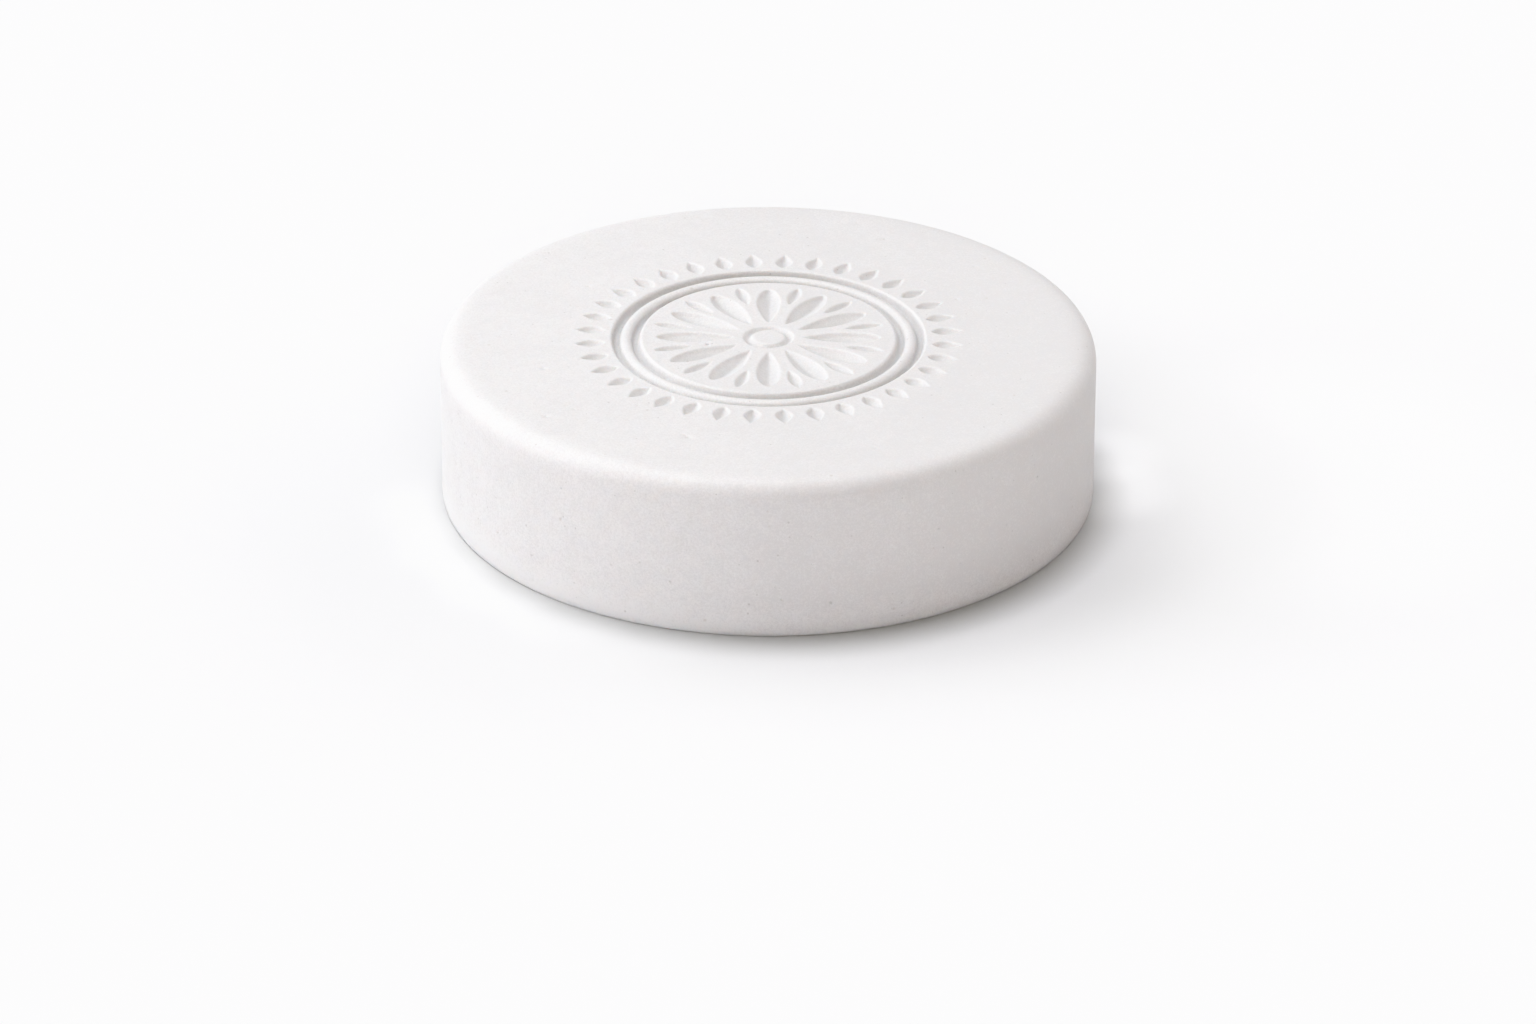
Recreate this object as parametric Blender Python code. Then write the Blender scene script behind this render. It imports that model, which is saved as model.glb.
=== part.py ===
"""Shaving soap puck: one round cake of pressed white clay soap.

Metres, +Z up. The origin is on the puck's axis, on the plane it rests on.
The cake is turned from a half profile that holds its edges and the ring
channel of the top medallion. The rest of the medallion is chip carved: plain
V cuts, as a hardened die leaves them in soap, in a hidden cutter named
rosette_die.
"""

import math

import bmesh
import bpy
from mathutils import Matrix, Vector

# The cake
PUCK_RADIUS = 0.0390          # 78 mm across
PUCK_HEIGHT = 0.0195
TOP_EDGE_RADIUS = 0.0022      # soft upper edge
BOTTOM_EDGE_RADIUS = 0.0004   # small lower edge, where the mould parts
TURN_STEPS = 96
TOP_EDGE_STEPS = 8
BOTTOM_EDGE_STEPS = 3

# Ring channel of the medallion, with a half round ridge along its middle
CHANNEL_INNER = 0.0152
CHANNEL_OUTER = 0.0186
CHANNEL_DEPTH = 0.00105
CHANNEL_DRAFT = 0.00034       # how far each channel wall leans, in plan
RIDGE_HALF_WIDTH = 0.00082
RIDGE_BELOW_LAND = 0.00005    # the crest stays just under the land
RIDGE_STEPS = 6

# Chip carved cuts. Each is a V whose walls keep one slope, so its depth
# follows its width and it runs out to a point at both ends.
CUT_SLOPE = 0.85              # depth over half width
CUT_CLEARANCE = 0.0004        # how far the cutter stands above the land
CUT_RUNOUT = 0.00003          # the keel leaves the land this far past a tip

PETALS = 12
PETAL_START = 0.0041
PETAL_END = 0.0133
PETAL_HALF_WIDTH = 0.00134
PETAL_STATIONS = 10

LEAVES = 12                   # between the petals
LEAF_START = 0.0094
LEAF_END = 0.0140
LEAF_HALF_WIDTH = 0.00066
LEAF_STATIONS = 7

BORDER_LEAVES = 36
BORDER_START = 0.0195
BORDER_END = 0.0231
BORDER_HALF_WIDTH = 0.00092
BORDER_STATIONS = 6

HUB_GROOVE_RADIUS = 0.00245   # small ring cut round the centre
HUB_GROOVE_HALF_WIDTH = 0.00050
HUB_STEPS = 36

SOAP_COLOUR = (0.862, 0.842, 0.830, 1.0)
SOAP_ROUGHNESS = 0.56


def arc(centre_x, centre_z, radius, start, end, steps):
    """Points on an arc in the XZ plane, angles in degrees."""
    points = []
    for i in range(steps + 1):
        a = math.radians(start + (end - start) * i / steps)
        points.append((centre_x + radius * math.cos(a), centre_z + radius * math.sin(a)))
    return points


def ridge_points():
    """The half round ridge in the channel, an elliptical arch from foot to foot."""
    middle = 0.5 * (CHANNEL_INNER + CHANNEL_OUTER)
    floor = PUCK_HEIGHT - CHANNEL_DEPTH
    rise = CHANNEL_DEPTH - RIDGE_BELOW_LAND
    points = []
    for i in range(RIDGE_STEPS + 1):
        a = math.pi * (1.0 - i / RIDGE_STEPS)
        points.append((middle + RIDGE_HALF_WIDTH * math.cos(a), floor + rise * math.sin(a)))
    return points


def half_profile():
    """The half profile from the rim of the centre land, out over the top edge,
    down the wall and in to the rim of the base."""
    top = PUCK_HEIGHT
    floor = top - CHANNEL_DEPTH
    points = [(CHANNEL_INNER, top), (CHANNEL_INNER + CHANNEL_DRAFT, floor)]
    points += ridge_points()
    points += [(CHANNEL_OUTER - CHANNEL_DRAFT, floor), (CHANNEL_OUTER, top)]
    points += arc(PUCK_RADIUS - TOP_EDGE_RADIUS, top - TOP_EDGE_RADIUS, TOP_EDGE_RADIUS, 90.0, 0.0, TOP_EDGE_STEPS)
    points += arc(PUCK_RADIUS - BOTTOM_EDGE_RADIUS, BOTTOM_EDGE_RADIUS, BOTTOM_EDGE_RADIUS, 0.0, -90.0, BOTTOM_EDGE_STEPS)
    return points


def link(obj):
    bpy.context.scene.collection.objects.link(obj)
    return obj


def turned_cake(name):
    """The cake as one closed body: the profile spun about Z, with a flat disc
    filling the top's middle and another filling the base."""
    bm = bmesh.new()
    verts = [bm.verts.new((x, 0.0, z)) for x, z in half_profile()]
    edges = [bm.edges.new((a, b)) for a, b in zip(verts, verts[1:])]
    bmesh.ops.spin(
        bm, geom=verts + edges, cent=(0.0, 0.0, 0.0), axis=(0.0, 0.0, 1.0),
        angle=2.0 * math.pi, steps=TURN_STEPS, use_merge=True, use_duplicate=False,
    )
    bmesh.ops.remove_doubles(bm, verts=bm.verts, dist=1e-7)
    rims = [e for e in bm.edges if e.is_boundary]
    bmesh.ops.holes_fill(bm, edges=rims, sides=0)
    bmesh.ops.recalc_face_normals(bm, faces=bm.faces)
    mesh = bpy.data.meshes.new(name)
    bm.to_mesh(mesh)
    bm.free()
    mesh.shade_smooth()
    mesh.set_sharp_from_angle(angle=math.radians(35.0))
    return link(bpy.data.objects.new(name, mesh))


def almond(t, peak):
    """Width of a cut along its length, 0 at both tips and 1 at t = peak."""
    b = (1.0 - peak) / peak
    top = peak * (1.0 - peak) ** b
    return t * max(1.0 - t, 0.0) ** b / top


def add_cut(bm, angle, start, end, half_width, stations, peak):
    """One V cut lying along a radius, as a closed boat: its keel hangs below
    the land and its deck stands above it."""
    spin = Matrix.Rotation(angle, 4, "Z")
    flare = CUT_CLEARANCE / CUT_SLOPE
    rows = []
    for i in range(-1, stations + 2):
        if i < 0 or i > stations:
            # just past a tip, where the keel has risen clear of the land
            r = start - CUT_RUNOUT if i < 0 else end + CUT_RUNOUT
            width = -CUT_RUNOUT
        else:
            # stations close up towards the tips
            t = 0.5 - 0.5 * math.cos(math.pi * i / stations)
            r = start + (end - start) * t
            width = half_width * almond(t, peak)
        keel = PUCK_HEIGHT - CUT_SLOPE * width
        deck = PUCK_HEIGHT + CUT_CLEARANCE
        rows.append([
            bm.verts.new(spin @ Vector((r, -(width + flare), deck))),
            bm.verts.new(spin @ Vector((r, 0.0, keel))),
            bm.verts.new(spin @ Vector((r, width + flare, deck))),
        ])
    faces = [bm.faces.new(rows[0]), bm.faces.new(list(reversed(rows[-1])))]
    for a, b in zip(rows, rows[1:]):
        for j in range(3):
            k = (j + 1) % 3
            faces.append(bm.faces.new((a[j], b[j], b[k], a[k])))
    return faces


def add_ring_cut(bm, radius, half_width, steps):
    """A V cut that runs in a circle."""
    flare = CUT_CLEARANCE / CUT_SLOPE
    deck = PUCK_HEIGHT + CUT_CLEARANCE
    keel = PUCK_HEIGHT - CUT_SLOPE * half_width
    section = [(radius - half_width - flare, deck), (radius, keel), (radius + half_width + flare, deck)]
    rows = []
    for i in range(steps):
        a = 2.0 * math.pi * i / steps
        rows.append([bm.verts.new((r * math.cos(a), r * math.sin(a), z)) for r, z in section])
    for i in range(steps):
        a, b = rows[i], rows[(i + 1) % steps]
        for j in range(3):
            k = (j + 1) % 3
            bm.faces.new((a[j], b[j], b[k], a[k]))


def rosette_die(name):
    """All the V cuts of the medallion as one hidden cutter."""
    bm = bmesh.new()
    for i in range(PETALS):
        add_cut(bm, 2.0 * math.pi * i / PETALS, PETAL_START, PETAL_END, PETAL_HALF_WIDTH, PETAL_STATIONS, 0.60)
    for i in range(LEAVES):
        add_cut(bm, 2.0 * math.pi * (i + 0.5) / LEAVES, LEAF_START, LEAF_END, LEAF_HALF_WIDTH, LEAF_STATIONS, 0.55)
    for i in range(BORDER_LEAVES):
        add_cut(bm, 2.0 * math.pi * (i + 0.5) / BORDER_LEAVES, BORDER_START, BORDER_END, BORDER_HALF_WIDTH,
                BORDER_STATIONS, 0.42)
    add_ring_cut(bm, HUB_GROOVE_RADIUS, HUB_GROOVE_HALF_WIDTH, HUB_STEPS)
    bmesh.ops.recalc_face_normals(bm, faces=bm.faces)
    mesh = bpy.data.meshes.new(name)
    bm.to_mesh(mesh)
    bm.free()
    cutter = link(bpy.data.objects.new(name, mesh))
    cutter.hide_render = True
    cutter.display_type = "WIRE"
    return cutter


def soap_material():
    material = bpy.data.materials.new("white_clay_soap")
    material.use_nodes = True
    shader = material.node_tree.nodes["Principled BSDF"]
    shader.inputs["Base Color"].default_value = SOAP_COLOUR
    shader.inputs["Roughness"].default_value = SOAP_ROUGHNESS
    shader.inputs["Metallic"].default_value = 0.0
    shader.inputs["IOR"].default_value = 1.46
    material.diffuse_color = SOAP_COLOUR
    return material


def clear_scene():
    for obj in list(bpy.data.objects):
        bpy.data.objects.remove(obj, do_unlink=True)


def main():
    clear_scene()
    puck = turned_cake("soap_puck")
    puck.data.materials.append(soap_material())
    die = rosette_die("rosette_die")
    pressed = puck.modifiers.new("pressed_medallion", "BOOLEAN")
    pressed.operation = "DIFFERENCE"
    pressed.solver = "EXACT"
    pressed.object = die


main()
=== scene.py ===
"""The looks of a pressed white clay soap puck, in metres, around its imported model.

The cake is rebuilt as one fine mesh with the same turned form and the same
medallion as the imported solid: softened arrises, slight waviness, a few real
pinholes. Its material is procedural throughout.
"""
import math

import bpy
import numpy as np
from mathutils import Matrix, Vector, noise
from mathutils.geometry import delaunay_2d_cdt


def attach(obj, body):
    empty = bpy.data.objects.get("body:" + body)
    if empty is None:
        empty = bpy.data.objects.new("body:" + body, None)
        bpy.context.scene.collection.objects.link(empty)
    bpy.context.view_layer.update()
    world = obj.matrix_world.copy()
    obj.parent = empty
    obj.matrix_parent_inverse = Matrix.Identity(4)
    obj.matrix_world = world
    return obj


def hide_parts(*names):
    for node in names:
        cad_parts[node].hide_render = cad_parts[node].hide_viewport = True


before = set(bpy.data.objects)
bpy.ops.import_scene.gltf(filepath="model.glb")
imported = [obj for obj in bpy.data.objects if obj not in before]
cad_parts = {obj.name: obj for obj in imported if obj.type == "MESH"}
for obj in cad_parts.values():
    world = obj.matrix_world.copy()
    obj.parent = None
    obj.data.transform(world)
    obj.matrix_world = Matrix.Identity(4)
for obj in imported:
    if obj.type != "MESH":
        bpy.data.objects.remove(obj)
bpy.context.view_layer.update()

MM = 0.001

# ---------------------------------------------------------------- the cake, in millimetres
RADIUS = 39.0
HEIGHT = 19.5
TOP_EDGE = 3.3         # the upper edge's blend, tightest at its middle, much like a 2.2 mm radius
EDGE_POWER = 3.0
BOTTOM_EDGE = 0.15

CHANNEL_INNER = 15.2
CHANNEL_OUTER = 18.6
CHANNEL_DEPTH = 0.88
CHANNEL_DRAFT = 0.34
RIDGE_HALF = 0.82
RIDGE_BELOW = 0.05

SHOULDER_SLOPE = 1.20   # a cut falls steeply for a short way,
SHOULDER = 0.26
FACE_SLOPE = 0.48       # then its faces lean gently down to the keel
CUT_SOFT = 0.10        # how far the rounding of an arris reaches, each side
KEEL_SOFT = 0.05
LIP = 0.030            # soap pushed up beside a cut
LIP_AT = 0.26          # its crest, this far from the arris
LIP_WIDE = 0.17

# cuts: count, first angle (in steps), start, end, half width, where the width peaks
PETALS = (12, 0.0, 4.1, 13.3, 1.34, 0.60)
SMALL_LEAVES = (12, 0.5, 9.4, 14.0, 0.66, 0.55)
BORDER_LEAVES = (36, 0.5, 19.5, 23.1, 0.92, 0.42)
CUTS = (PETALS, SMALL_LEAVES, BORDER_LEAVES)
HUB_GROOVE = (2.45, 0.50)

EMBLEM = 23.6          # the fine mesh reaches this far out
FLAT = RADIUS - TOP_EDGE

rng = np.random.default_rng(20)


# ---------------------------------------------------------------- the pressed relief
def almond(t, peak):
    """Width along a cut: 0 at its tips, 1 where it peaks."""
    b = (1.0 - peak) / peak
    t = np.clip(t, 0.0, 1.0)
    return t * (1.0 - t) ** b / (peak * (1.0 - peak) ** b)


def soft_ramp(q, k):
    """max(q, 0) with its corner rounded over -k..k."""
    return np.where(q <= -k, 0.0, np.where(q >= k, q, (q + k) ** 2 / (4.0 * k)))


def cut_profile(q):
    """Depth at a distance q inside a cut's arris."""
    return SHOULDER_SLOPE * soft_ramp(q, CUT_SOFT) - (SHOULDER_SLOPE - FACE_SLOPE) * soft_ramp(q - SHOULDER, 0.09)


def cut_depth(x, y, cut):
    count, first, start, end, half, peak = cut
    step = 2.0 * math.pi / count
    r = np.hypot(x, y)
    a = np.arctan2(y, x) - first * step
    a = a - step * np.round(a / step)
    u, v = r * np.cos(a), np.abs(r * np.sin(a))
    t = (u - start) / (end - start)
    w = half * almond(t, peak)
    past = np.maximum(start - u, u - end)          # beyond a tip
    q = np.where(past > 0.0, -np.hypot(past, v), w - np.sqrt(v * v + KEEL_SOFT ** 2) + KEEL_SOFT * 0.4)
    return cut_profile(q), q


def smooth_step(e0, e1, x):
    t = np.clip((x - e0) / (e1 - e0), 0.0, 1.0)
    return t * t * (3.0 - 2.0 * t)


def channel_depth(r):
    """The ring channel: soft shoulders, a flat floor, a half round ridge along its middle."""
    walls = (smooth_step(CHANNEL_INNER - 0.10, CHANNEL_INNER + CHANNEL_DRAFT + 0.06, r)
             * smooth_step(CHANNEL_OUTER + 0.10, CHANNEL_OUTER - CHANNEL_DRAFT - 0.06, r))
    middle = 0.5 * (CHANNEL_INNER + CHANNEL_OUTER)
    s = np.clip(np.abs(r - middle) / RIDGE_HALF, 0.0, 1.0)
    ridge = np.sqrt(np.clip(1.0 - s ** 2.2, 0.0, 1.0))
    return CHANNEL_DEPTH * walls - (CHANNEL_DEPTH - RIDGE_BELOW) * ridge


def relief(x, y):
    """How far the pressed medallion lies below the land."""
    x, y = np.asarray(x, float), np.asarray(y, float)
    r = np.hypot(x, y)
    d = channel_depth(r)
    near = 0.5 * (CHANNEL_OUTER - CHANNEL_INNER) - np.abs(r - 0.5 * (CHANNEL_OUTER + CHANNEL_INNER))
    for cut in CUTS:
        depth, q = cut_depth(x, y, cut)
        d, near = np.maximum(d, depth), np.maximum(near, q)
    q = HUB_GROOVE[1] - np.sqrt((r - HUB_GROOVE[0]) ** 2 + KEEL_SOFT ** 2) + KEEL_SOFT * 0.4
    d, near = np.maximum(d, cut_profile(q)), np.maximum(near, q)
    return d - LIP * np.where(near < 0.0, np.exp(-((near + LIP_AT) / LIP_WIDE) ** 2), 0.0) * smooth_step(0.0, -0.12, near)


# ---------------------------------------------------------------- small pores in the surface
def pore(distance, radius, depth):
    return depth * smooth_step(1.25 * radius, 0.15 * radius, distance)


# on the top: x, y, radius, depth
TOP_PORES = [(-7.16, -1.92, 0.27, 0.28), (-6.66, -1.72, 0.12, 0.12)]
while len(TOP_PORES) < 15:
    r, a = 35.5 * math.sqrt(rng.random()), 2.0 * math.pi * rng.random()
    x, y, size = r * math.cos(a), r * math.sin(a), 0.08 + 0.12 * rng.random() ** 2
    near = relief(x + 0.6 * np.cos(np.arange(8)), y + 0.6 * np.sin(np.arange(8)))
    if abs(relief(x, y)) + np.abs(near).max() < 1e-3:
        TOP_PORES.append((x, y, size, size * 0.8))

# on the wall: distance round it, distance down the profile, radius, depth
EDGE_ARC = 0.5 * math.pi * TOP_EDGE
WALL = HEIGHT - TOP_EDGE - BOTTOM_EDGE
BAND = EDGE_ARC + WALL + 0.5 * math.pi * BOTTOM_EDGE
GIRTH = 2.0 * math.pi * RADIUS
WALL_PORES = []
while len(WALL_PORES) < 70:
    size = 0.08 + 0.13 * rng.random() ** 2.5
    WALL_PORES.append((1.5 + (GIRTH - 3.0) * rng.random(), EDGE_ARC + 0.8 + (WALL - 1.4) * rng.random(),
                       size, size * 0.75))


# ---------------------------------------------------------------- points, then triangles
class Sieve:
    """Takes points in order of importance and keeps each its distance from those before it."""

    def __init__(self, cell=0.3):
        self.cell, self.grid, self.points, self.gaps = cell, {}, [], []

    def clear(self, x, y, gap):
        c, reach = self.cell, int(gap / self.cell) + 1
        i, j = int(math.floor(x / c)), int(math.floor(y / c))
        for a in range(i - reach, i + reach + 1):
            for b in range(j - reach, j + reach + 1):
                for k in self.grid.get((a, b), ()):
                    px, py = self.points[k]
                    if (px - x) ** 2 + (py - y) ** 2 < gap * gap:
                        return False
        return True

    def add(self, x, y, gap):
        if gap > 0.0 and not self.clear(x, y, gap):
            return None
        key = (int(math.floor(x / self.cell)), int(math.floor(y / self.cell)))
        self.grid.setdefault(key, []).append(len(self.points))
        self.points.append((float(x), float(y)))
        return len(self.points) - 1


def circle(r, count, shift=0.0):
    a = (np.arange(count) + shift) * 2.0 * math.pi / count
    return np.stack([r * np.cos(a), r * np.sin(a)], 1)


def hexes(spacing, r_in, r_out):
    rows = int(r_out / (spacing * 0.8660254)) + 2
    out = []
    for j in range(-rows, rows + 1):
        y = j * spacing * 0.8660254
        x = (np.arange(-rows, rows + 1) + 0.5 * (j % 2)) * spacing
        r = np.hypot(x, y)
        out.append(np.stack([x, np.full_like(x, y)], 1)[(r > r_in) & (r < r_out)])
    return np.concatenate(out)


def cut_rows(cut, pitch=0.19):
    """Points along a cut's keel and arrises, most important first."""
    count, first, start, end, half, peak = cut
    n = max(8, int((end - start) / pitch))
    t = 0.5 - 0.5 * np.cos(np.pi * np.arange(n + 1) / n)
    t = 0.35 * t + 0.65 * np.arange(n + 1) / n
    u = start + (end - start) * t
    w = half * almond(t, peak)
    keel = np.stack([u, np.zeros_like(u)], 1)
    rows = [keel]
    slant = np.gradient(w, u)
    side = np.stack([-slant, np.ones_like(u)], 1) / np.hypot(slant, 1.0)[:, None]
    edge = np.stack([u, w], 1)
    for shift in (0.0, CUT_SOFT, -CUT_SOFT, -SHOULDER, LIP_AT, LIP_AT + 0.19):
        line = edge + side * shift
        line = line[line[:, 1] > 0.09] if shift <= 0 else line
        rows += [line, line * (1.0, -1.0)]
    lines = np.concatenate(rows)
    out = []
    for k in range(count):
        a = (k + first) * 2.0 * math.pi / count
        c, s = math.cos(a), math.sin(a)
        out.append(lines @ np.array([[c, s], [-s, c]]))
    return np.concatenate(out)


def triangles_of(points):
    """Delaunay triangles over the points, as their own numbers, counter-clockwise."""
    verts, _, faces, sources = delaunay_2d_cdt([Vector(p) for p in points], [], [], 0, 1e-6)[:4]
    own = [s[0] for s in sources]
    return [(own[a], own[b], own[c]) for a, b, c in faces]


RIM = 408              # points round the puck where its patches meet


def top_patch():
    s = Sieve()
    for x, y in circle(FLAT, RIM):
        s.add(x, y, 0.0)
    middle = 0.5 * (CHANNEL_INNER + CHANNEL_OUTER)
    offsets = [0.0, 0.22, 0.40, 0.54, 0.65, 0.73, 0.79, 0.84, 0.94, 1.06, 1.18, 1.28, 1.37, 1.46, 1.55, 1.64, 1.72, 1.81, 1.95, 2.12]
    for k, off in enumerate(offsets):
        for r in ((middle,) if off == 0.0 else (middle - off, middle + off)):
            for x, y in circle(r, int(2.0 * math.pi * r / 0.27), 0.5 * (k % 2)):
                s.add(x, y, 0.0)
    for r in (HUB_GROOVE[0], HUB_GROOVE[0] - HUB_GROOVE[1], HUB_GROOVE[0] + HUB_GROOVE[1],
              HUB_GROOVE[0] - HUB_GROOVE[1] - CUT_SOFT, HUB_GROOVE[0] + HUB_GROOVE[1] + CUT_SOFT,
              HUB_GROOVE[0] - HUB_GROOVE[1] + CUT_SOFT, HUB_GROOVE[0] + HUB_GROOVE[1] - CUT_SOFT):
        for x, y in circle(r, int(2.0 * math.pi * r / 0.17)):
            s.add(x, y, 0.07)
    for px, py, size, _ in TOP_PORES:
        for share, count in ((0.0, 1), (0.35, 6), (0.7, 10), (1.0, 14), (1.3, 16)):
            for x, y in circle(size * share, count, 0.3):
                s.add(px + x, py + y, 0.03)
    for cut in CUTS:
        for x, y in cut_rows(cut):
            s.add(x, y, 0.075)
    inner, outer = middle - 2.2, middle + 2.2
    for x, y in hexes(0.255, 0.0, EMBLEM):
        if not inner < math.hypot(x, y) < outer:
            s.add(x, y, 0.15)
    for x, y in hexes(0.42, EMBLEM, 25.5):
        s.add(x, y, 0.28)
    for x, y in hexes(0.66, 25.4, FLAT - 0.5):
        s.add(x, y, 0.45)
    return np.array(s.points)


def band_patch():
    """The outer band laid flat: x round the puck, y down its profile."""
    s = Sieve()
    rows = list(np.linspace(0.0, EDGE_ARC, 21)) + list(np.linspace(EDGE_ARC, EDGE_ARC + WALL, 30))[1:]
    rows += list(np.linspace(EDGE_ARC + WALL, BAND, 4))[1:]
    for v in rows:                                   # the seam, and both rims
        s.add(0.0, v, 0.0)
        s.add(GIRTH, v, 0.0)
    for v in (0.0, BAND):
        for k in range(1, RIM):
            s.add(GIRTH * k / RIM, v, 0.0)
    for pu, pv, size, _ in WALL_PORES:
        for share, count in ((0.0, 1), (0.35, 6), (0.7, 10), (1.0, 14), (1.3, 16)):
            for x, y in circle(size * share, count, 0.3):
                s.add(pu + x, pv + y, 0.03)
    for j, v in enumerate(rows[1:-1]):               # sieved, so the pores keep their own rings
        for k in range(RIM):
            u = GIRTH * (k + 0.5 * ((j + 1) % 2)) / RIM
            if 0.2 < u < GIRTH - 0.2:
                s.add(u, v, 0.22)
    return np.array(s.points), len(rows)


def on_band(u, v):
    """Place and outward direction of a point of the flat band."""
    a = 2.0 * math.pi * u / GIRTH
    if v <= EDGE_ARC:
        t = min(0.5 * math.pi * v / EDGE_ARC, 0.5 * math.pi - 1e-9)      # the lean of its normal
        ratio = math.tan(t) ** (1.0 / (EDGE_POWER - 1.0))
        rise = TOP_EDGE / (1.0 + ratio ** EDGE_POWER) ** (1.0 / EDGE_POWER)
        r, z, nr, nz = FLAT + ratio * rise, HEIGHT - TOP_EDGE + rise, math.sin(t), math.cos(t)
    elif v <= EDGE_ARC + WALL:
        r, z, nr, nz = RADIUS, HEIGHT - TOP_EDGE - (v - EDGE_ARC), 1.0, 0.0
    else:
        t = (v - EDGE_ARC - WALL) / BOTTOM_EDGE
        r, z = RADIUS - BOTTOM_EDGE + BOTTOM_EDGE * math.cos(t), BOTTOM_EDGE - BOTTOM_EDGE * math.sin(t)
        nr, nz = math.cos(t), -math.sin(t)
    return (r * math.cos(a), r * math.sin(a), z), (nr * math.cos(a), nr * math.sin(a), nz)


def waviness(p):
    """The slight unevenness of pressed soap, always inwards."""
    a = noise.noise(Vector((p[0] / 13.0, p[1] / 13.0, p[2] / 9.0 + 3.1)))
    b = noise.noise(Vector((p[0] / 3.7 + 8.0, p[1] / 3.7, p[2] / 3.7)))
    return 0.030 * (0.5 + 0.5 * a) + 0.007 * (0.5 + 0.5 * b)


def build_puck(name):
    places, faces = [], []

    # the top, which is also the relief
    top = top_patch()
    depth = relief(top[:, 0], top[:, 1])
    for px, py, size, deep in TOP_PORES:
        depth = depth + pore(np.hypot(top[:, 0] - px, top[:, 1] - py), size, deep)
    for (x, y), d in zip(top, depth):
        places.append((x, y, HEIGHT - d - waviness((x, y, HEIGHT))))
    faces += triangles_of(top)

    # the band
    band, _ = band_patch()
    dent = np.zeros(len(band))
    for pu, pv, size, deep in WALL_PORES:
        dent = dent + pore(np.hypot(band[:, 0] - pu, band[:, 1] - pv), size, deep)
    number = {}
    seam, bottom_rim = {}, [None] * RIM
    for i, (u, v) in enumerate(band):
        k = int(round(u / GIRTH * RIM)) % RIM
        if v == 0.0:
            number[i] = k                            # the top's own rim
            continue
        if u == GIRTH:
            number[i] = seam[round(float(v), 6)]
            continue
        place, out = on_band(u, v)
        d = dent[i] + waviness(place)
        number[i] = len(places)
        places.append(tuple(c - d * n for c, n in zip(place, out)))
        if u == 0.0:
            seam[round(float(v), 6)] = number[i]
        if v == BAND:
            bottom_rim[k] = number[i]
    for a, b, c in triangles_of(band):
        a, b, c = number[a], number[b], number[c]
        if len({a, b, c}) == 3:
            faces.append((a, c, b))                  # y runs down, so the turn is reversed

    # the base
    base = list(map(tuple, circle(RADIUS - BOTTOM_EDGE, RIM))) + list(map(tuple, hexes(1.9, 0.0, RADIUS - BOTTOM_EDGE - 1.2)))
    mine = list(bottom_rim)
    for x, y in base[RIM:]:
        mine.append(len(places))
        places.append((x, y, waviness((x, y, 0.0))))
    faces += [(mine[a], mine[c], mine[b]) for a, b, c in triangles_of(base)]

    mesh = bpy.data.meshes.new(name)
    mesh.from_pydata([tuple(c * MM for c in p) for p in places], [], faces)
    mesh.validate()
    mesh.shade_smooth()
    obj = bpy.data.objects.new(name, mesh)
    bpy.context.scene.collection.objects.link(obj)
    return obj


# ---------------------------------------------------------------- the soap
class Nodes:
    """A short way to write a node tree."""

    def __init__(self, tree):
        self.tree = tree

    def add(self, kind, **settings):
        node = self.tree.nodes.new(kind)
        for key, value in settings.items():
            setattr(node, key, value)
        return node

    def put(self, value, socket):
        if isinstance(value, bpy.types.NodeSocket):
            self.tree.links.new(value, socket)
        else:
            socket.default_value = value

    def maths(self, operation, a, b=0.0, c=None, clamp=False):
        node = self.add("ShaderNodeMath", operation=operation, use_clamp=clamp)
        self.put(a, node.inputs[0])
        self.put(b, node.inputs[1])
        if c is not None:
            self.put(c, node.inputs[2])
        return node.outputs[0]

    def spread(self, value, low, high, to_low=0.0, to_high=1.0, smooth=True):
        node = self.add("ShaderNodeMapRange", interpolation_type="SMOOTHSTEP" if smooth else "LINEAR")
        for socket, v in zip(node.inputs[:5], (value, low, high, to_low, to_high)):
            self.put(v, socket)
        return node.outputs[0]

    def noise(self, vector, scale, detail=3.0, roughness=0.5, distortion=0.0):
        node = self.add("ShaderNodeTexNoise", noise_dimensions="3D")
        self.put(vector, node.inputs["Vector"])
        self.put(scale, node.inputs["Scale"])
        self.put(detail, node.inputs["Detail"])
        self.put(roughness, node.inputs["Roughness"])
        self.put(distortion, node.inputs["Distortion"])
        return node.outputs["Fac"]

    def cells(self, vector, scale):
        node = self.add("ShaderNodeTexVoronoi", voronoi_dimensions="3D", feature="F1")
        self.put(vector, node.inputs["Vector"])
        self.put(scale, node.inputs["Scale"])
        split = self.add("ShaderNodeSeparateColor")
        self.put(node.outputs["Color"], split.inputs[0])
        return node.outputs["Distance"], split.outputs[0], split.outputs[1], split.outputs[2]

    def blend(self, factor, a, b, kind="MIX"):
        node = self.add("ShaderNodeMix", data_type="RGBA", blend_type=kind)
        node.clamp_factor = True
        self.put(factor, node.inputs[0])
        self.put(a, node.inputs[6])
        self.put(b, node.inputs[7])
        return node.outputs[2]

    def specks(self, place, scale, keep, size, size_range, soft=0.35):
        """Scattered dots: a random few of the cells, each with its own size. Sizes are in cells."""
        distance, pick, big, _ = self.cells(place, scale)
        radius = self.maths("MULTIPLY_ADD", big, size_range, size)
        inside = self.maths("DIVIDE", distance, radius)
        dot = self.spread(inside, 1.0, 1.0 - soft)
        return self.maths("MULTIPLY", dot, self.maths("LESS_THAN", pick, keep))


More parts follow.
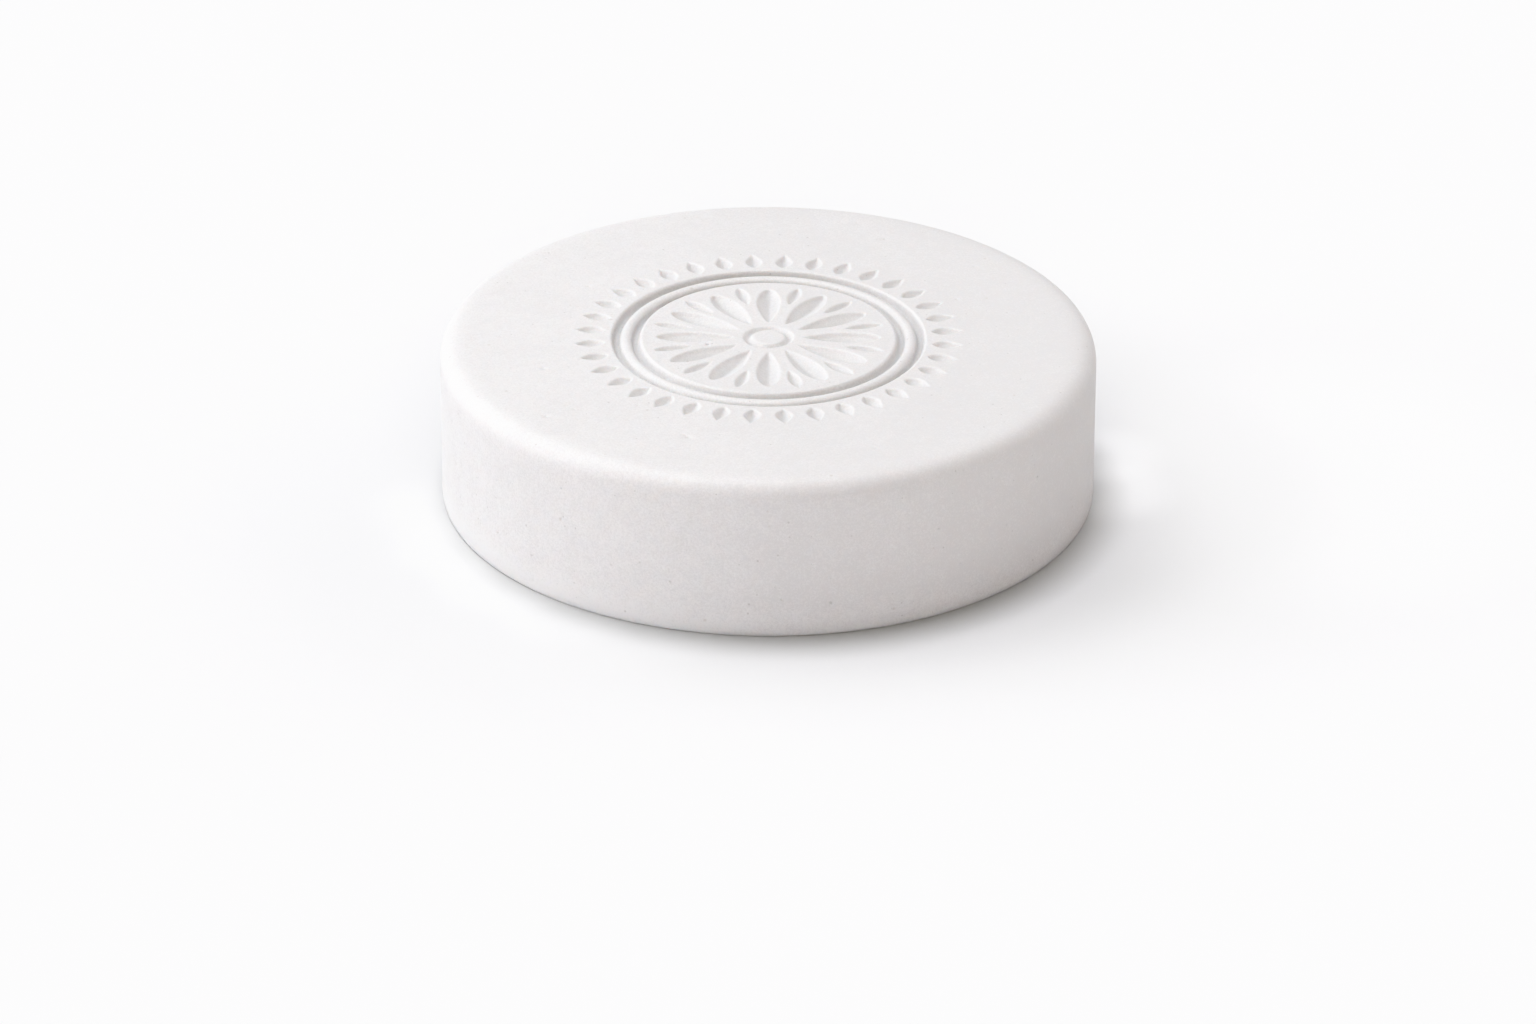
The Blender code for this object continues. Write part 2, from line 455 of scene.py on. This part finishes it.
def soap_material(name):
    material = bpy.data.materials.new(name)
    material.use_nodes = True
    tree = material.node_tree
    tree.nodes.clear()
    n = Nodes(tree)
    out = n.add("ShaderNodeOutputMaterial")
    shader = n.add("ShaderNodeBsdfPrincipled")
    tree.links.new(shader.outputs[0], out.inputs["Surface"])
    where = n.add("ShaderNodeTexCoord").outputs["Object"]
    scale = n.add("ShaderNodeVectorMath", operation="SCALE")
    n.put(where, scale.inputs[0])
    n.put(1000.0, scale.inputs["Scale"])
    place = scale.outputs[0]                         # in millimetres

    cloud = n.noise(place, 0.085, 2.0, 0.55, 0.4)    # 12 mm drifts
    blotch = n.noise(place, 0.42, 3.0, 0.60, 0.3)    # 2 to 3 mm blotches
    fleck = n.noise(place, 1.25, 3.0, 0.62, 0.2)     # under 1 mm
    grain = n.noise(place, 3.4, 3.0, 0.62)           # 0.3 mm grain
    dust = n.noise(place, 6.0, 2.0, 0.65)            # the finest grain
    apart = n.add("ShaderNodeSeparateXYZ")
    n.put(place, apart.inputs[0])
    painted_side_shade_and_foot_light = n.maths("ADD", apart.outputs[0], n.maths("MULTIPLY_ADD", cloud, 24.0, -12.0))
    painted_side_shade_and_foot_light = n.spread(painted_side_shade_and_foot_light, -40.0, 40.0, -0.28, 0.34)     # painted shade: the +X side of the cake a shade darker, standing in for light falling off on that side
    painted_side_shade_and_foot_light = n.maths("ADD", painted_side_shade_and_foot_light, n.spread(apart.outputs[2], 0.3, 5.0, -0.64, 0.0))     # and painted light: the lowest 5 mm of the wall paler, standing in for bounce light at its foot

    pale = (0.886, 0.874, 0.871, 1.0)
    dusk = (0.781, 0.768, 0.765, 1.0)
    # the random mottle is laid over the painted side shade and the painted foot light
    mottle_and_painted_shading = n.maths("MULTIPLY_ADD", n.spread(cloud, 0.32, 0.70), 0.10, painted_side_shade_and_foot_light)
    mottle_and_painted_shading = n.maths("MULTIPLY_ADD", n.spread(blotch, 0.32, 0.70), 0.19, mottle_and_painted_shading)
    mottle_and_painted_shading = n.maths("MULTIPLY_ADD", n.spread(fleck, 0.32, 0.70), 0.17, mottle_and_painted_shading)
    mottle_and_painted_shading = n.maths("MULTIPLY_ADD", n.spread(grain, 0.34, 0.68), 0.52, mottle_and_painted_shading)
    mottle_and_painted_shading = n.maths("MULTIPLY_ADD", n.spread(dust, 0.38, 0.64), 0.46, mottle_and_painted_shading)
    colour = n.blend(mottle_and_painted_shading, pale, dusk)

    beige = n.specks(place, 0.42, 0.17, 0.065, 0.075, 0.7)
    grey = n.specks(place, 0.85, 0.30, 0.07, 0.10, 0.6)
    colour = n.blend(n.maths("MULTIPLY", beige, 0.44), colour, (0.63, 0.585, 0.54, 1.0))
    colour = n.blend(n.maths("MULTIPLY", grey, 0.50), colour, (0.52, 0.50, 0.48, 1.0))
    n.put(colour, shader.inputs["Base Color"])

    rough = n.maths("ADD", n.spread(blotch, 0.3, 0.7, 0.50, 0.60), n.spread(grain, 0.3, 0.7, -0.03, 0.03))
    n.put(rough, shader.inputs["Roughness"])

    # fine skin: grain, a soft orange peel, and pin pricks
    prick = n.specks(place, 1.15, 0.06, 0.05, 0.09, 0.9)
    height = n.maths("MULTIPLY", n.noise(place, 5.2, 2.0, 0.55), 0.0022)
    height = n.maths("MULTIPLY_ADD", n.noise(place, 1.3, 3.0, 0.55), 0.0060, height)
    height = n.maths("MULTIPLY_ADD", prick, -0.022, height)
    bump = n.add("ShaderNodeBump")
    n.put(1.0, bump.inputs["Strength"])
    n.put(0.001, bump.inputs["Distance"])
    n.put(height, bump.inputs["Height"])
    n.put(bump.outputs[0], shader.inputs["Normal"])

    shader.inputs["Metallic"].default_value = 0.0
    shader.inputs["IOR"].default_value = 1.46
    shader.inputs["Specular IOR Level"].default_value = 0.40
    shader.inputs["Subsurface Weight"].default_value = 0.38
    shader.inputs["Subsurface Radius"].default_value = (1.0, 0.80, 0.67)
    shader.inputs["Subsurface Scale"].default_value = 0.0013
    shader.inputs["Sheen Weight"].default_value = 0.06
    shader.inputs["Sheen Roughness"].default_value = 0.5
    material.diffuse_color = pale
    return material


cake = build_puck("soap_cake")
cake.data.materials.append(soap_material("white_clay_soap"))
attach(cake, "root")
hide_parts("soap_puck")
cake.visible_diffuse = False       # the white wall throws little light on the floor at its foot


# ---------------------------------------------------------------- the floor
def pale_floor(half):
    bpy.ops.mesh.primitive_plane_add(size=2.0 * half, location=(0.0, 0.0, -0.00002))
    floor = bpy.context.object
    floor.name = "floor"
    material = bpy.data.materials.new("pale_floor")
    material.use_nodes = True
    tree = material.node_tree
    tree.nodes.clear()
    n = Nodes(tree)
    shader = n.add("ShaderNodeBsdfDiffuse")
    n.put((0.930, 0.930, 0.935, 1.0), shader.inputs["Color"])
    tree.links.new(shader.outputs[0], n.add("ShaderNodeOutputMaterial").inputs["Surface"])
    floor.data.materials.append(material)
    return floor


pale_floor(8.0)


# ---------------------------------------------------------------- the camera
R = RADIUS * MM
ELEVATION = 0.45822
DISTANCE = 21.09675 * R
FOCAL_PX = 6893.55
PITCH = 0.47292
ACROSS = 0.00115 * R
ROLL = 0.00406

camera_data = bpy.data.cameras.new("camera")
camera_data.sensor_fit = "HORIZONTAL"
camera_data.sensor_width = 36.0
camera_data.lens = FOCAL_PX * 36.0 / 1536.0
camera_data.clip_start = 0.05
camera_data.clip_end = 60.0
camera = bpy.data.objects.new("camera", camera_data)
bpy.context.scene.collection.objects.link(camera)
eye = Vector((ACROSS, -DISTANCE * math.cos(ELEVATION), DISTANCE * math.sin(ELEVATION) + 0.5 * HEIGHT * MM))
ahead = Vector((0.0, math.cos(PITCH), -math.sin(PITCH)))
right = Vector((1.0, 0.0, 0.0))
up = right.cross(ahead)
right, up = math.cos(ROLL) * right + math.sin(ROLL) * up, -math.sin(ROLL) * right + math.cos(ROLL) * up
camera.matrix_world = Matrix((
    (right.x, up.x, -ahead.x, eye.x), (right.y, up.y, -ahead.y, eye.y), (right.z, up.z, -ahead.z, eye.z),
    (0.0, 0.0, 0.0, 1.0)))
bpy.context.scene.camera = camera


def soft_shoulder(view, top=1.25):
    """Standard colours, with a short shoulder so that near-white light doesn't clip."""
    view.view_transform = "Standard"
    view.use_curve_mapping = True
    mapping = view.curve_mapping
    mapping.white_level = (top, top, top)
    curve = mapping.curves[3]
    for x, y in ((0.90, 0.90), (0.995, 0.972), (1.06, 0.988)):
        curve.points.new(x / top, y)
    for point in curve.points:
        point.handle_type = "VECTOR"
    mapping.update()


soft_shoulder(bpy.context.scene.view_settings)


# ---------------------------------------------------------------- the light
def world_light(fill, shown):
    """An even fill from all round, and the pale studio wall that is seen past the floor."""
    world = bpy.data.worlds.new("studio")
    bpy.context.scene.world = world
    world.use_nodes = True
    tree = world.node_tree
    tree.nodes.clear()
    n = Nodes(tree)
    light, wall = n.add("ShaderNodeBackground"), n.add("ShaderNodeBackground")
    n.put(fill, light.inputs["Color"])
    n.put(1.0, light.inputs["Strength"])
    n.put((0.998, 0.998, 1.0, 1.0), wall.inputs["Color"])
    n.put(shown, wall.inputs["Strength"])
    mix = n.add("ShaderNodeMixShader")
    n.put(n.add("ShaderNodeLightPath").outputs["Is Camera Ray"], mix.inputs[0])
    tree.links.new(light.outputs[0], mix.inputs[1])
    tree.links.new(wall.outputs[0], mix.inputs[2])
    tree.links.new(mix.outputs[0], n.add("ShaderNodeOutputWorld").inputs["Surface"])


def soft_sun(name, azimuth, elevation, spread, strength):
    """A broad soft light from far off: azimuth from +X towards +Y, both in degrees."""
    data = bpy.data.lights.new(name, "SUN")
    data.angle = math.radians(spread)
    data.energy = strength
    data.cycles.use_multiple_importance_sampling = False
    light = bpy.data.objects.new(name, data)
    a, e = math.radians(azimuth), math.radians(elevation)
    towards = Vector((math.cos(e) * math.cos(a), math.cos(e) * math.sin(a), math.sin(e)))
    light.rotation_euler = towards.to_track_quat("Z", "Y").to_euler()
    bpy.context.scene.collection.objects.link(light)
    return light


# name, azimuth, elevation, spread, strength in red, green and blue
LIGHTS = (
    ("key_high", 120.0, 80.0, 24.0, (1.700, 1.710, 1.792)),
    ("key_behind", 135.0, 56.0, 40.0, (0.266, 0.275, 0.230)),
    ("left_behind", 135.0, 42.0, 46.0, (0.645, 0.651, 0.683)),
    ("left_low", 180.0, 18.0, 46.0, (1.290, 1.287, 1.330)),
    ("front_grazing", 270.0, 5.0, 30.0, (0.534, 0.480, 0.560)),
    ("front_mid", 270.0, 42.0, 46.0, (0.690, 0.662, 0.580)),
    ("right_back_low", 45.0, 18.0, 46.0, (0.350, 0.330, 0.355)),
    ("right_low", 0.0, 18.0, 46.0, (0.215, 0.165, 0.112)),
)
# small cards that reach only the floor, close round the cake's foot: centre, reach, how much they add
CARDS = (
    ("card_right_front", 40.5, -1.5, 9.5, 0.115),
    ("card_right_back", 40.5, 8.0, 9.0, 0.10),
    ("card_right_far", 64.0, 2.0, 40.0, 0.07),
    ("card_left_1", -40.0, -7.0, 9.5, 0.045),
    ("card_left_2", -36.8, -17.1, 9.5, 0.060),
    ("card_left_3", -31.2, -26.1, 9.5, 0.060),
    ("card_left_4", -23.5, -33.6, 9.5, 0.048),
    ("card_left_5", -14.3, -39.4, 9.5, 0.026),
)


def floor_card(name, x, y, reach, gain, only, height=0.25):
    """A faint pool of light on the floor alone."""
    data = bpy.data.lights.new(name, "SPOT")
    data.spot_size = 2.0 * math.atan(reach * MM / height)
    data.spot_blend = 1.0
    data.shadow_soft_size = 0.0
    data.use_shadow = False
    data.energy = 4.0 * math.pi ** 2 * height ** 2 * gain / 0.93
    light = bpy.data.objects.new(name, data)
    light.location = (x * MM, y * MM, height)
    light.light_linking.receiver_collection = only
    bpy.context.scene.collection.objects.link(light)


only_floor = bpy.data.collections.new("only_floor")
only_floor.objects.link(bpy.data.objects["floor"])
for card in CARDS:
    floor_card(*card, only_floor)
world_light((0.0, 0.0, 0.0, 1.0), 0.995)
for name, azimuth, elevation, spread, rgb in LIGHTS:
    light = soft_sun(name, azimuth, elevation, spread, max(rgb))
    light.data.color = tuple(c / max(rgb) for c in rgb)
